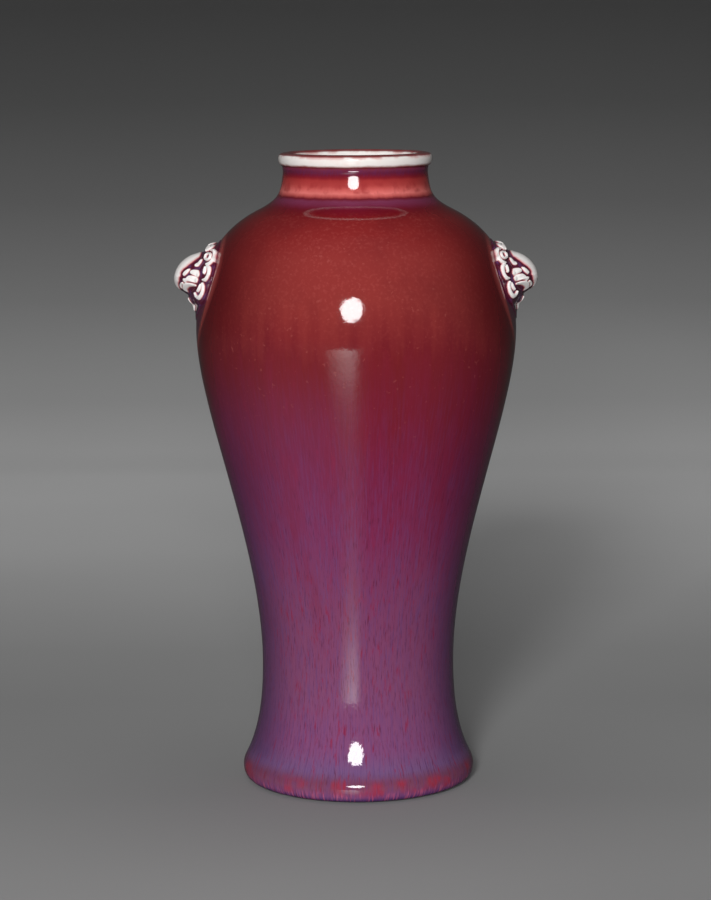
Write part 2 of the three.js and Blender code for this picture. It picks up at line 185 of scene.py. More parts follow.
foot_line = sweep(
    contact,
    (blend_of(CONTACT_RADIUS, FOOT_EDGE_RADIUS, 0.95), 0.05 * FOOT_EDGE_HEIGHT),
    (FOOT_EDGE_RADIUS, 0.25 * FOOT_EDGE_HEIGHT),
    foot_edge,
)
flare_line = sweep(
    foot_edge,
    foot_edge + 0.24 * flare_length * flare_way,
    (WAIST_RADIUS, blend_of(waist_height, FOOT_EDGE_HEIGHT, 0.49)),
    waist,
)
lower_line = sweep(
    waist,
    (WAIST_RADIUS, blend_of(waist_height, belly_height, 0.358)),
    (belly_radius, blend_of(belly_height, waist_height, 0.235)),
    belly,
)
shoulder_line = sweep(
    belly,
    (belly_radius, blend_of(belly_height, shoulder_end_height, 0.581)),
    shoulder_end - 0.6 * (belly_radius - SHOULDER_END_RADIUS) * slope_way,
    shoulder_end,
)
neck_line = sweep(
    shoulder_end,
    shoulder_end + (SHOULDER_END_RADIUS - NECK_RADIUS) * slope_way,
    (NECK_RADIUS + NECK_EASE, blend_of(neck_height, shoulder_end_height, 0.54)),
    neck,
)
collar_line = np.linspace(neck, lip_corner, 50)
rounded_foot = eased(joined(foot_line, flare_line), FOOT_ROUNDING)
outline = eased(joined(rounded_foot, lower_line, shoulder_line, neck_line, collar_line), CORNER_ROUNDING)
print("outline:", len(outline), "points,", round(arc_of(outline)[-1], 1), "mm long")

# %% The rolled lip and the hollow
WALL = 4.9
LIP_DEPTH = rim_height - collar_height
LIP_OVERHANG = 1.8
LIP_CREST_INSET = 3.1
FLOOR_LEVEL = 13.05
FLOOR_CORNER = 12
lip_edge = np.array([NECK_RADIUS + LIP_OVERHANG, rim_height - 0.45 * LIP_DEPTH])
lip_crest = np.array([lip_edge[0] - LIP_CREST_INSET, rim_height])
mouth = np.array([NECK_RADIUS - WALL, collar_height])
lip_line = joined(
    sweep(
        lip_corner,
        (blend_of(lip_corner[0], lip_edge[0], 0.6), collar_height + 0.02 * LIP_DEPTH),
        (lip_edge[0], blend_of(lip_edge[1], collar_height, 0.6)),
        lip_edge,
    ),
    sweep(
        lip_edge,
        (lip_edge[0], blend_of(lip_edge[1], rim_height, 0.7)),
        (blend_of(lip_crest[0], lip_edge[0], 0.7), rim_height - 0.02 * LIP_DEPTH),
        lip_crest,
    ),
    sweep(
        lip_crest,
        (blend_of(lip_crest[0], mouth[0], 0.5), rim_height - 0.02 * LIP_DEPTH),
        (mouth[0], blend_of(rim_height, collar_height, 0.35)),
        mouth,
    ),
)
inner_wall = sunk(outline, WALL)[::-1]
level = inner_wall[:, 1]
inner_wall = inner_wall[(level > FLOOR_LEVEL + FLOOR_CORNER) & (level < collar_height - 0.2)]
corner_top = inner_wall[-1]
floor_line = sweep(
    corner_top,
    (corner_top[0] + 0.5, blend_of(corner_top[1], FLOOR_LEVEL, 0.5)),
    (corner_top[0] - 0.45 * FLOOR_CORNER, FLOOR_LEVEL),
    (corner_top[0] - FLOOR_CORNER, FLOOR_LEVEL),
)
floor_middle = np.array([[0, FLOOR_LEVEL]] * 2)
hollow_line = eased(joined(mouth[None], inner_wall, floor_line, floor_middle), CORNER_ROUNDING)
print("hollow: narrowest", round(hollow_line[hollow_line[:, 1] > 30][:, 0].min(), 2), "mm radius")

# %% [markdown]
# ## From a profile to a closed shell
#
# A coat of glaze is a thin closed shell. Its profile goes up the outside and comes back down the
# inside, and is carried round the axis. Spin or a Screw modifier would do that too. Working the
# ring of points out as one array keeps the seam closed and the faces turned outward, and lets the
# surface be a little uneven, as a thrown and dipped pot is.

# %% Meshes from arrays
WAVES_SUM = 3.2
CALM_START = 205
CALM_REACH = 15


def new_object(name, points, faces, material):
    """A mesh object from points in metres and lists of corner numbers."""
    mesh = bpy.data.meshes.new(name)
    mesh.from_pydata(points.tolist(), [], faces)
    mesh.shade_smooth()
    mesh.materials.append(material)
    made = bpy.data.objects.new(name, mesh)
    scene.collection.objects.link(made)
    return made


def new_piece(name, points, faces, material, replaced):
    """A visible piece from points in millimetres, ridden and named."""
    piece = new_object(name, points * MM, faces, material)
    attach(piece, "root")
    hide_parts(*replaced)
    print(name, "-", len(points), "points,", len(faces), "faces")
    return piece


def turned(rows, columns, uneven=0):
    """A profile carried round the axis: radius r at angle a gives r cos a, r sin a and the height.
    The profile runs with the solid on its left. If it starts and ends on the axis, those two points
    are poles. If not, its end joins its start. uneven is the deepest dent in millimetres: a few
    slow waves round and up the pot, always inward, and calmer near the neck."""
    on_axis = rows[:, 0] < 1e-6
    rings = rows[~on_axis]
    angle = np.linspace(0, 2 * np.pi, columns, endpoint=False)
    around, height = np.meshgrid(angle, rings[:, 1])
    waves = (
        np.sin(2 * around + height / 31) + np.sin(3 * around - height / 17 + 1.3)
        + 0.7 * np.sin(height / 3.9 + np.sin(around)) + 0.5 * np.sin(7 * around + height / 9)
    )
    calmer = 1 - 0.8 * smooth_step((height - CALM_START) / CALM_REACH)
    radius = rings[:, :1] - uneven * calmer * (waves + WAVES_SUM) / (2 * WAVES_SUM)
    points = np.stack([radius * np.cos(around), radius * np.sin(around), height], -1).reshape(-1, 3)
    index = np.arange(len(points)).reshape(len(rings), columns)
    poles = on_axis.any()
    low = index[:-1] if poles else index
    high = index[1:] if poles else np.roll(index, -1, 0)
    faces = np.stack([low, np.roll(low, -1, 1), np.roll(high, -1, 1), high], -1).reshape(-1, 4).tolist()
    if poles:
        pole = np.full(columns, len(points))
        points = np.concatenate([points, [[0, 0, rows[0, 1]], [0, 0, rows[-1, 1]]]])
        faces += np.stack([pole, np.roll(index[0], -1), index[0]], -1).tolist()
        faces += np.stack([index[-1], np.roll(index[-1], -1), pole + 1], -1).tolist()
    return points, faces


# %% [markdown]
# ## Shader helpers
#
# Materials are built from nodes. A few short helpers make a node, set its inputs and hand back the
# output that the next node needs, so that each effect below reads as a formula. A socket knows the
# tree that it belongs to, as its id_data, so a helper that is given one adds its node there.

# %% Small tools for node trees
def linear(red, green, blue):
    """A colour written as on a colour card, 0 to 255, as the linear values that nodes use."""
    card = np.array([red, green, blue]) / 255
    low, high = card / 12.92, ((card + 0.055) / 1.055) ** 2.4
    return (*np.where(card <= 0.04045, low, high).tolist(), 1.0)


def add_node(tree, kind, inputs=(), **settings):
    """Adds a shader node of that kind. inputs pairs a socket's name or number with a value or
    with an output socket."""
    node = tree.nodes.new("ShaderNode" + kind)
    for name, value in settings.items():
        setattr(node, name, value)
    for key, value in dict(inputs).items():
        if isinstance(value, bpy.types.NodeSocket):
            tree.links.new(value, node.inputs[key])
        else:
            node.inputs[key].default_value = value
    return node


def number(operation, a, b=0, c=0, clamp=False):
    """The result of a Math node. a is a socket, and b and c are sockets or numbers."""
    inputs = enumerate((a, b, c))
    return add_node(a.id_data, "Math", inputs, operation=operation, use_clamp=clamp).outputs[0]


def times(first, *others):
    """The product of masks and numbers."""
    for other in others:
        first = number("MULTIPLY", first, other)
    return first


def length_of(a, b):
    """sqrt(a^2 + b^2)"""
    return number("SQRT", number("ADD", times(a, a), times(b, b)))


def centred(value):
    """A mask or noise of 0 to 1, as -0.5 to 0.5."""
    return number("SUBTRACT", value, 0.5)


def ranged(value, low, high, to_low=0, to_high=1):
    """value taken smoothly from low..high to to_low..to_high, held at the ends."""
    inputs = enumerate((value, low, high, to_low, to_high))
    return add_node(value.id_data, "MapRange", inputs, interpolation_type="SMOOTHSTEP").outputs[0]


def noise(place, scale, detail, **more):
    """Fractal noise at that place, about 0.5."""
    inputs = {"Vector": place, "Scale": scale, "Detail": detail, **more}
    return add_node(place.id_data, "TexNoise", inputs).outputs[0]


def mixed(factor, a, b):
    """Colour a, with colour b laid over it by the factor."""
    return add_node(factor.id_data, "Mix", {0: factor, 6: a, 7: b}, data_type="RGBA").outputs[2]


def laid(colour, *layers):
    """The colour with layers laid over it in turn. A layer is a colour of the card, then the
    shares whose product says how much of it shows."""
    for card, *shares in layers:
        colour = mixed(times(*shares), colour, linear(*card))
    return colour


def ramp(factor, stops):
    """A colour ramp: stops are pairs of place and colour."""
    node = add_node(factor.id_data, "ValToRGB", {0: factor})
    bar = node.color_ramp
    while len(bar.elements) < len(stops):
        bar.elements.new(1)
    for element, (place, colour) in zip(bar.elements, stops):
        element.position = place
        element.color = colour
    return node.outputs[0]


def object_place(tree):
    """The point's place in the vase's own frame, in metres."""
    return add_node(tree, "TexCoord").outputs["Object"]


def parts_of(vector):
    """The vector's x, y and z."""
    return add_node(vector.id_data, "SeparateXYZ", {0: vector}).outputs


def new_group(name, inputs, outputs):
    """An empty shader group of float sockets. inputs are (name, value), outputs are names."""
    group = bpy.data.node_groups.new(name, "ShaderNodeTree")
    for label, value in inputs:
        socket = group.interface.new_socket(label, in_out="INPUT", socket_type="NodeSocketFloat")
        socket.default_value = value
    for label in outputs:
        group.interface.new_socket(label, in_out="OUTPUT", socket_type="NodeSocketFloat")
    return group, group.nodes.new("NodeGroupInput").outputs, group.nodes.new("NodeGroupOutput").inputs


def use_group(tree, group, output="Mask", **inputs):
    """The group placed in a material with its own values. Gives the named output."""
    node = add_node(tree, "Group", node_tree=group)
    for label, value in inputs.items():
        node.inputs[label].default_value = value
    return node.outputs[output]


def new_material(name, **constants):
    """A material with one Principled surface. Constants are set on the shader's own sockets."""
    material = bpy.data.materials.new(name)
    material.use_nodes = True
    surface = material.node_tree.nodes["Principled BSDF"]
    for label, value in constants.items():
        surface.inputs[label].default_value = value
    return material, material.node_tree, surface


def link_surface(surface, colour, dull, bump):
    """Joins the colour, the roughness and a bump to the surface. dull is a noise with the least
    and the most roughness. bump is a height with its strength, and its distance in metres."""
    tree = surface.id_data
    height, strength, distance = bump
    relief = add_node(tree, "Bump", {"Height": height, "Strength": strength, "Distance": distance})
    tree.links.new(colour, surface.inputs["Base Color"])
    tree.links.new(ranged(dull[0], 0.3, 0.7, *dull[1:]), surface.inputs["Roughness"])
    tree.links.new(relief.outputs[0], surface.inputs["Normal"])


# %% [markdown]
# ## Glaze that ran down
#
# The copper glaze slid down the pot and left hair-fine vertical streaks, longer than they are wide.
# An image texture would need a seam. Instead each point is described by its direction from the axis,
# which has no seam, and by its height, squeezed so that one step up counts for little. Noise on
# those three numbers comes out as streaks. The group is built once and used for hairs, for broad
# runs and for drips, each with its own width and length.

# %% Group: streaks that follow the run of the glaze
streaks, taken, given = new_group(
    "flowing_streaks",
    [("Finer", 33), ("Shorter", 50), ("Sway", 0.006), ("Low", 0.4), ("High", 0.6), ("Shift", 0)],
    ["Mask"],
)
place = object_place(streaks)
x, y, z = parts_of(place)
flat = add_node(streaks, "CombineXYZ", {0: x, 1: y}).outputs[0]
direction = add_node(streaks, "VectorMath", {0: flat}, operation="NORMALIZE").outputs[0]
east, north, _ = parts_of(direction)
sway = times(centred(noise(place, 60, 1)), taken["Sway"])
east, north = (times(number("ADD", way, sway), taken["Finer"]) for way in (east, north))
upward = number("MULTIPLY_ADD", z, taken["Shorter"], taken["Shift"])
run = add_node(streaks, "CombineXYZ", {0: east, 1: north, 2: upward}).outputs[0]
grain = noise(run, 1, 3, Roughness=0.6)
streaks.links.new(ranged(grain, taken["Low"], taken["High"]), given["Mask"])
print("group", streaks.name, "with", len(streaks.nodes), "nodes")

# %% Group: fine specks of a glaze that boiled and healed
inputs = [("Fineness", 900), ("Low", 0.6), ("High", 0.75)]
specks, taken, given = new_group("glaze_specks", inputs, ["Mask"])
dots = noise(object_place(specks), taken["Fineness"], 1.5)
specks.links.new(ranged(dots, taken["Low"], taken["High"]), given["Mask"])
print("group", specks.name, "with", len(specks.nodes), "nodes")

# %% [markdown]
# ## Where the glaze pooled round a mask
#
# The glaze stood thick round each mask and went purple, and it ends in a low swelling, whose colour
# also carries a painted highlight. Further out, painted shade darkens the body towards the masks. The
# masks have an egg-shaped edge, so the effect is a distance from that egg: 1 on the edge, more
# outside. Painting a vertex attribute would do as well, but a formula stays sharp.

# %% Group: distance from a mask's egg-shaped edge
MASK_HALF_WIDTH = 22.4
MASK_RISE = 14.8
MASK_DROP = 16.4
MASK_TAPER = 0.42
MASK_LEVEL = (levels_of("right_mask")[0] + MASK_DROP) * MM
print("mask centre at z", round(MASK_LEVEL, 4))

halo, taken, given = new_group(
    "mask_halo",
    [
        ("Drop", 0.027), ("Taper", 0.36), ("Pool end", 1.02),
        ("Line", 1.11), ("Line width", 0.17), ("Shade end", 2.8),
    ],
    ["Pool", "Swelling", "Shade"],
)
_, y, z = parts_of(object_place(halo))
above = number("SUBTRACT", z, MASK_LEVEL)
upper = number("DIVIDE", number("MAXIMUM", above, 0), MASK_RISE * MM)
lower = number("DIVIDE", number("MINIMUM", above, 0), taken["Drop"])
lift = number("ADD", upper, lower)
narrowing = times(number("MULTIPLY", lower, lower, clamp=True), taken["Taper"], -1)
half_width = number("MULTIPLY_ADD", narrowing, MASK_HALF_WIDTH * MM, MASK_HALF_WIDTH * MM)
egg = length_of(number("DIVIDE", y, half_width), lift)
away = number("ABSOLUTE", number("SUBTRACT", egg, taken["Line"]))
pool = ranged(egg, number("ADD", taken["Pool end"], 0.04), taken["Pool end"])
halo.links.new(pool, given["Pool"])
# The swelling of the glaze, whose colour also carries a painted highlight
halo.links.new(ranged(away, taken["Line width"], 0), given["Swelling"])
# Painted shade: darkest near the mask, and gone by the shade end
halo.links.new(ranged(egg, taken["Shade end"], 1.2), given["Shade"])

# %% [markdown]
# ## The red glaze
#
# From the shoulder down, the real glaze goes from brick red through crimson to violet, with red and
# lilac hairs in it. A ramp on height holds those zones. Streaks first push the height up and down a
# little, so that no zone ends on a level line, and then lay lilac and red over the lower half. The
# glaze is glass, so the surface is smooth, with a faint orange peel that frays the highlights.

# %% Zones of colour: height in millimetres, and a colour of the card
GLAZE_TOP = 250
GLAZE_ZONES = (
    (0, 60, 38, 70), (1.2, 84, 50, 114), (3, 124, 68, 120), (5.6, 130, 72, 100),
    (8.2, 118, 64, 88), (12, 119, 84, 128), (20, 132, 74, 118), (45, 131, 70, 107),
    (75, 127, 61, 99), (105, 126, 42, 82), (130, 123, 33, 68), (152, 121, 28, 49),
    (176, 117, 28, 35), (196, 140, 49, 46), (212, 146, 51, 48), (225.6, 140, 36, 37),
    (227.8, 126, 22, 30), (229.4, 114, 20, 36), (230.9, 122, 40, 70), (232.2, 126, 58, 92),
    (233.2, 112, 26, 42), (233.9, 104, 16, 24), (234.5, 214, 100, 96), (235.3, 234, 124, 118),
    (237, 208, 92, 88), (238.4, 178, 66, 64), (240.2, 166, 52, 52), (241.3, 130, 24, 38),
    (242.6, 106, 22, 46), (243.8, 98, 34, 66), (244.9, 132, 50, 58),
)
red_glaze, tree, surface = new_material("copper_red_glaze", Roughness=0.06, IOR=1.5)
place = object_place(tree)
x, y, z = parts_of(place)

# The runs move the zones much on the body, and little at the neck and foot
broad = use_group(tree, streaks, Finer=9, Shorter=14, Low=0.3, High=0.7)
body_only = times(ranged(z, 0.222, 0.18), ranged(z, 0.012, 0.05))
push = times(centred(broad), ranged(body_only, 0, 1, 0.0003, 0.01))
share_up = number("DIVIDE", number("ADD", z, push), GLAZE_TOP * MM)
colour = ramp(share_up, [(level / GLAZE_TOP, linear(*card)) for level, *card in GLAZE_ZONES])
print("zones of the red glaze:", len(GLAZE_ZONES))

# %% Runs and hairs, the bluer flanks, and painted shade on the flanks
lilacs = use_group(tree, streaks, Finer=80, Shorter=100, Sway=0.002, Low=0.42, High=0.68, Shift=23)
blotches = use_group(tree, streaks, Finer=4, Shorter=16, Low=0.48, High=0.66, Shift=91)
reds = use_group(tree, streaks, Finer=36, Shorter=130, Low=0.56, High=0.72, Shift=7)
hairs = use_group(tree, streaks, Finer=120, Shorter=200, Sway=0.002, Low=0.53, High=0.7)
lower_half = ranged(z, 0.19, 0.085)
red_reach = ranged(z, 0.2, 0.13)
girth = length_of(x, y)
sideways = number("DIVIDE", number("ABSOLUTE", x), girth)
left_half = ranged(number("DIVIDE", x, girth), 0.1, -0.3)
colour = laid(
    colour,
    # Lilac runs, crimson blotches above the foot, crimson runs, and dark hairs
    ((98, 66, 120), lilacs, lower_half, ranged(z, 0.14, 0.07, 0.34, 0.5)),
    ((130, 26, 54), blotches, red_reach, ranged(z, 0.045, 0.09), 0.4),
    ((146, 28, 60), reds, red_reach, ranged(z, 0.12, 0.06, 0.3, 0.7)),
    ((86, 18, 48), hairs, lower_half, 0.6),
    # Bluer flanks low down, a slightly bluer left half, and painted shade on the upper flanks
    ((76, 54, 96), ranged(sideways, 0.62, 0.98), ranged(z, 0.175, 0.07), ranged(z, 0.009, 0.016), 0.55),
    ((96, 74, 150), left_half, ranged(z, 0.174, 0.145), ranged(z, 0.07, 0.1), 0.07),
    ((44, 4, 28), ranged(sideways, 0.4, 0.9), ranged(z, 0.08, 0.13), ranged(z, 0.212, 0.195), 0.24),
)
print("red glaze so far:", len(tree.nodes), "nodes")

# %% Specks, bands of the neck, the foot's bead and the glaze round the masks
flecks = use_group(tree, specks, Fineness=800, Low=0.48, High=0.74)
dots = use_group(tree, specks, Fineness=560, Low=0.67, High=0.76)
clouds = noise(place, 45, 3)
under_lip = use_group(tree, streaks, Finer=44, Shorter=420, Low=0.4, High=0.66, Shift=77)
smudged = ranged(noise(place, 260, 3), 0.45, 0.68, 0, 0.6)
drips = use_group(tree, streaks, Finer=26, Shorter=110, Low=0.42, High=0.62, Shift=41)
patches = times(ranged(noise(place, 90, 2), 0.47, 0.63, 0.05, 0.85), ranged(drips, 0, 1, 0.45, 0.9))
pinks = use_group(tree, streaks, Finer=62, Shorter=120, Low=0.48, High=0.66, Shift=59)
swelling_and_highlight = use_group(tree, halo, "Swelling")
colour = laid(
    colour,
    # Specks on the shoulder, and darker clouds
    ((172, 78, 74), flecks, ranged(z, 0.165, 0.215), ranged(z, 0.2295, 0.2265, 0, 0.27)),
    ((184, 98, 92), dots, ranged(z, 0.11, 0.2), ranged(z, 0.2295, 0.2265, 0, 0.24)),
    ((96, 22, 30), ranged(clouds, 0.45, 0.75, 0, 0.28), ranged(z, 0.15, 0.2)),
    # Lilac drips in the purple under the lip, and red smudges in the pink of the neck
    ((92, 40, 92), under_lip, ranged(z, 0.2412, 0.243), 0.3),
    ((156, 46, 48), smudged, ranged(z, 0.2345, 0.236), ranged(z, 0.241, 0.2385)),
    # Red patches on the foot's bead, and pink hairs that run down over its edge
    ((168, 44, 64), patches, ranged(z, 0.0105, 0.007), ranged(z, 0.0015, 0.0045)),
    ((204, 96, 128), pinks, ranged(z, 0.0055, 0.003), ranged(z, 0.0002, 0.0012), 0.65),
    # Round the masks painted shade that fades outward, a painted highlight on the swelling, and purple at the
    # edge
    ((82, 9, 16), use_group(tree, halo, "Shade"), 0.9),
    ((146, 62, 60), swelling_and_highlight, 0.9),
    ((90, 26, 56), use_group(tree, halo, "Pool"), 0.92),
)
calm_peel = times(noise(place, 420, 2), ranged(z, 0.2, 0.22, 1, 0.15))
bumps = number("MULTIPLY_ADD", swelling_and_highlight, 4, calm_peel)
link_surface(surface, colour, (clouds, 0.035, 0.08), (bumps, 0.4, 0.0001))
print("red glaze:", len(tree.nodes), "nodes")

# %% [markdown]
# ## The outer coat
#
# The coat is 0.75 mm thick and feathers out just above the contact ring, where the potter wiped it
# away. In the CAD model it has a window round each mask. Here it runs on behind them, because the
# edge of each mask dips into the glaze.

# %% Build the outer coat
COAT = 0.75
COAT_START = 0.9
FEATHER_START = 0.4
FEATHER_LENGTH = 2.2
arc = arc_of(outline)
feather = smooth_step((arc - FEATHER_START) / FEATHER_LENGTH)
glazed = arc > COAT_START
front = spaced(outline[glazed], 205)
behind = spaced(sunk(outline[glazed], COAT * feather[glazed]), 40)[::-1]
points, faces = turned(np.concatenate([front, behind]), 384, uneven=0.07)
new_piece("outer_coat", points, faces, red_glaze, ["outer_glaze"])

# %% [markdown]
# ## The white lip and the inside
#
# On the lip the glaze ran off and left white porcelain, with a thin red-brown line along the crest
# and another where the red glaze begins. The same thin pale coat goes on down the inside. It could be
# two pieces, but it is one coat, so it is one shell.

# %% The pale glaze of the lip and the inside
pale_glaze, tree, surface = new_material("pale_lip_glaze", Roughness=0.08, IOR=1.5)
place = object_place(tree)
x, y, z = parts_of(place)
smudge = noise(place, 160, 3)
wander = times(centred(smudge), 0.0014)
level = number("ADD", z, times(wander, 0.3))
under_lip = ranged(number("ADD", z, wander), 0.2462, 0.245)
outside_only = ranged(length_of(x, y), 0.0275, 0.0285)
colour = laid(
    linear(246, 240, 236),
    # Pinker patches, and greener deep inside
    ((244, 222, 216), ranged(smudge, 0.45, 0.75, 0, 0.5)),
    ((196, 200, 190), ranged(z, 0.244, 0.2)),
    # A blush and a thin line on the crest, and the start of the red under the lip
    ((188, 84, 84), ranged(level, 0.2479, 0.2492), ranged(smudge, 0.36, 0.6), 0.6),
    ((124, 40, 42), ranged(level, 0.2489, 0.24945), 0.94),
    ((144, 56, 58), under_lip, outside_only),
)
link_surface(surface, colour, (smudge, 0.05, 0.12), (noise(place, 500, 2), 0.3, 0.00005))
print("pale glaze:", len(tree.nodes), "nodes")

# %% Build the lip and inner coat
INNER_COAT = 0.5
seen = joined(lip_line, hollow_line[1:])
back = sunk(seen, INNER_COAT)[::-1]
back[back[:, 0] < 0.1, 0] = 0
front = spaced(seen, 190, easy_length=60)
front[-1, 0] = 0
hidden = spaced(back[back[:, 0] > 0], 70)
profile = np.concatenate([[[0, FLOOR_LEVEL - INNER_COAT]], hidden, front])
points, faces = turned(profile, 256)
new_piece("lip_and_inner_coat", points, faces, pale_glaze, ["inner_glaze"])

# %% [markdown]
# ## The turned foot
#
# Under the vase, the foot ring was wiped clean to stop it sticking in the kiln, so it is bare
# porcelain, slightly burnt where the glaze ends. The recess inside it has its own thin glaze. The
# clay is closed up to the waist seam, under the coats, as the CAD section is.

# %% Bare porcelain and slip
def bare_clay(name, body, burnt, roughness):
    """Unglazed clay: a body colour with darker burnt clouds and specks, and a sandy grain."""
    material, tree, surface = new_material(name, IOR=1.5)
    place = object_place(tree)
    cloud = noise(place, 90, 4)
    grit = use_group(tree, specks, Fineness=1500, Low=0.66, High=0.74)
    colour = laid(linear(*body), (burnt, ranged(cloud, 0.4, 0.75)), ((120, 84, 64), grit, 0.6))
    dull = (cloud, roughness - 0.08, roughness + 0.08)
    link_surface(surface, colour, dull, (noise(place, 2200, 2), 0.4, 0.00008))
    return material


porcelain = bare_clay("bare_porcelain", (226, 218, 206), (206, 176, 148), 0.62)
luting_slip = bare_clay("luting_slip", (206, 196, 182), (190, 172, 152), 0.85)
for name in ("body_section", "shoulder_section", "neck_section", "waist_slip", "belly_slip", "neck_slip"):
    clay = luting_slip if name.endswith("slip") else porcelain
    nodes[name].data.materials.clear()
    nodes[name].data.materials.append(clay)
    print(clay.name, "on", name)

# %% Build the foot section and the glaze in its recess
RECESS_ROOF_RADIUS = 33.4
RECESS_RADIUS = 34.6
RING_INNER_RADIUS = 35.8
RING_MIDDLE_RADIUS = 37.5
RING_OUTER_RADIUS = 39.5
RECESS_DEPTH = levels_of("base_glaze")[1]
BASE_COAT = 0.4
CLAY_UNDER_COAT = 0.8
seam = levels_of("foot_section")[1]
clay_face = sunk(outline, CLAY_UNDER_COAT * feather)
clay_face = clay_face[clay_face[:, 1] < seam]
clay_face[:, 1] = np.maximum(clay_face[:, 1], 0)
clay_hollow = sunk(hollow_line, INNER_COAT + 0.05)
clay_hollow = clay_hollow[clay_hollow[:, 1] < seam]
clay_hollow[-1, 0] = 0
ring_corners = np.array([
    (RECESS_ROOF_RADIUS, RECESS_DEPTH), (RECESS_RADIUS, RECESS_DEPTH),
    (RING_INNER_RADIUS, 0), (RING_MIDDLE_RADIUS, 0),
])
ring = eased(ring_corners, 0.3)
ring[:, 1] = np.clip(ring[:, 1], 0, RECESS_DEPTH)
profile = np.concatenate([
    [[0, RECESS_DEPTH]], spaced(ring, 24), [[RING_OUTER_RADIUS, 0]],
    spaced(clay_face, 60), spaced(clay_hollow, 50),
])
points, faces = turned(profile, 256)
new_piece("foot_clay", points, faces, porcelain, ["foot_section"])

base_glaze, tree, surface = new_material("pale_base_glaze", Roughness=0.12, IOR=1.5)
stain = noise(object_place(tree), 70, 4)
pinholes = use_group(tree, specks, Fineness=700, Low=0.68, High=0.76)
stained = ((198, 196, 176), ranged(stain, 0.35, 0.75))
colour = laid(linear(222, 220, 208), stained, ((130, 100, 84), pinholes, 0.5))
link_surface(surface, colour, (stain, 0.08, 0.2), (stain, 0.3, 0.0001))
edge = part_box("base_glaze")[1].x / MM
base_level = RECESS_DEPTH - BASE_COAT
under = eased(np.array([(2, base_level), (edge - 0.6, base_level), (edge, RECESS_DEPTH - 0.02)]), 0.15)
roof = [[edge - 0.1, RECESS_DEPTH], [0, RECESS_DEPTH]]
points, faces = turned(np.concatenate([[[0, base_level]], spaced(under, 24), roof]), 192)
new_piece("base_coat", points, faces, base_glaze, ["base_glaze"])

# %% [markdown]
# ## The animal masks
#
# Each mask was pressed in a mould and set on the shoulder: a beast's head with a broad ridge from
# brow to muzzle, small round eyes, folded cheeks over an open mouth, a pointed beard, and a mane of
# curls. It could be sculpted by hand. Here it is a height over the shoulder, added up from soft
# forms, as a press mould has no undercuts and a formula keeps both halves alike.
#
# Strokes are drawn as paths with a width, like a modelling tool's marks. The distance from the
# path gives each stroke a round section.

# %% Strokes of the relief: millimetres across and up from the mask's centre, and width
RIDGE_LEVELS = (-5.8, -4.4, -2.7, -1.1, 0.1, 1.5, 2.8, 4.3, 5.6, 7.3, 8.6)
RIDGE_HALF_WIDTHS = (2.4, 3.6, 6.2, 6.7, 5.9, 6.4, 7.3, 7.4, 6.9, 5.4, 4.7)
HEAD_STROKES = {
    "eye": [(10.1, 5.0, 1.3), (10.5, 5.8, 1.3)],
    "cheekbone": [(8.2, 0.2, 0.7), (8.8, 1.1, 0.95), (9.2, 1.9, 0.7)],
    "upper_fold": [(11.2, 1.9, 1.0), (12.4, 2.0, 1.15), (13.5, 1.5, 0.9)],
    "middle_fold": [(9.9, -1.6, 0.8), (10.9, -0.7, 1.15), (12.3, -0.4, 1.2), (13.6, -0.5, 1.0)],
    "lip_fold": [
        (6.7, -5.2, 0.6), (8.0, -4.2, 0.6), (9.4, -3.3, 0.65),
        (11.2, -2.6, 0.55), (12.6, -2.4, 0.5), (14.0, -2.3, 0.35),
    ],
    "nostril": [(5.6, -4.7, 0.3), (6.8, -3.6, 0.35), (8.6, -2.7, 0.35)],
}
MANE_STROKES = {
    "crown": [
        (8.2, 10.0, 0.5), (5.8, 10.7, 0.65), (3.4, 11.3, 0.65), (3.8, 12.0, 0.7),
        (6.0, 12.2, 0.7), (8.0, 12.0, 0.7), (9.6, 11.3, 0.65), (9.4, 10.4, 0.5),
    ],
    "ear": [
        (12.6, 10.9, 0.5), (14.4, 11.2, 0.65), (16.4, 10.7, 0.8), (18.0, 9.6, 0.85),
        (18.5, 8.2, 0.9), (18.0, 6.8, 0.85), (16.6, 6.0, 0.6),
    ],
    "ear_scroll": [
        (11.7, 8.4, 0.45), (12.5, 9.5, 0.5), (14.7, 9.5, 0.5), (16.0, 8.8, 0.5),
        (16.0, 7.9, 0.5), (14.8, 7.4, 0.5), (13.1, 7.6, 0.5), (12.4, 8.3, 0.4),
    ],
    "cheek": [
        (17.4, 5.4, 0.5), (18.9, 5.0, 0.8), (19.8, 3.7, 0.9),
        (20.0, 2.2, 0.9), (19.4, 0.9, 0.85), (18.2, 0.4, 0.55),
    ],
    "cheek_core": [(16.8, 4.9, 0.5), (17.0, 3.9, 0.75), (17.4, 2.8, 0.5)],
    "beard_curl": [
        (18.3, -0.9, 0.5), (19.3, -2.1, 0.75), (19.5, -3.6, 0.85), (18.9, -5.2, 0.9),
        (17.4, -6.4, 0.9), (15.6, -6.1, 0.8), (14.6, -5.1, 0.55),
    ],
    "beard_core": [(17.6, -1.5, 0.5), (17.2, -2.9, 0.75), (16.5, -4.0, 0.55)],
}
BEARD_STROKES = {"beard": [(4.2, -8.2, 0.5), (4.4, -9.4, 0.7), (3.8, -10.8, 0.65), (2.6, -12.4, 0.35)]}


def smooth_path(marks, steps=6):
    """More points between the marks, on a curve through them: each piece leans on the marks
    before and after it, and the width goes along."""
    marks = np.array(marks, float)
    ends = np.concatenate([2 * marks[:1] - marks[1:2], marks, 2 * marks[-1:] - marks[-2:-1]])
    t = np.linspace(0, 1, steps, endpoint=False)[:, None]
    parts = []
    for before, start, end, after in zip(ends, ends[1:], ends[2:], ends[3:]):
        parts.append(0.5 * (
            2 * start + (end - before) * t + (2 * before - 5 * start + 4 * end - after) * t ** 2
            + (3 * start - before - 3 * end + after) * t ** 3
        ))
    return np.concatenate(parts + [marks[-1:]])


